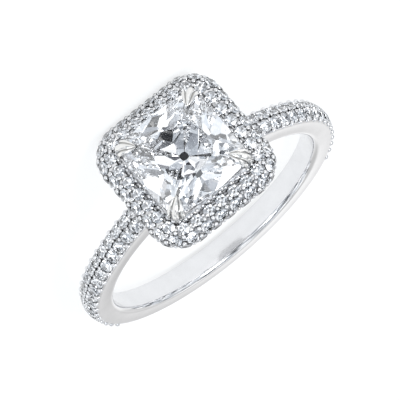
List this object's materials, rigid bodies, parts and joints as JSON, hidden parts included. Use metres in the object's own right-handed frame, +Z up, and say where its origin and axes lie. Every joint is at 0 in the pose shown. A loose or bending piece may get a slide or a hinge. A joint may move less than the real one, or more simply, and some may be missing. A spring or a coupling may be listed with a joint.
{
  "type": "halo ring",
  "caption": "Cushion halo engagement ring: white metal band with two rows of small stones, a domed stone-set halo and a square centre stone held by four claws.",
  "frame": {"origin": "centre of the ring's outline on the surface that it lies on", "axes": "+Z up from the surface; the head points towards -Y and the palm side of the band towards +Y; the finger's axis leans about 10 degrees from +Z towards +Y, because the ring rests on the side of its halo and on the palm side of its band"},
  "size_m": [0.0202, 0.0244, 0.0092],
  "materials": {
    "white_metal": "polished white gold",
    "centre_stone": "faceted, clear",
    "small_stones": "faceted, clear"
  },
  "bodies": {
    "root": {"setting": "white_metal", "centre_stone": "centre_stone", "halo_stones_top": "small_stones", "halo_stones_side": "small_stones", "band_stones_left": "small_stones", "band_stones_right": "small_stones"}
  },
  "joints": []
}
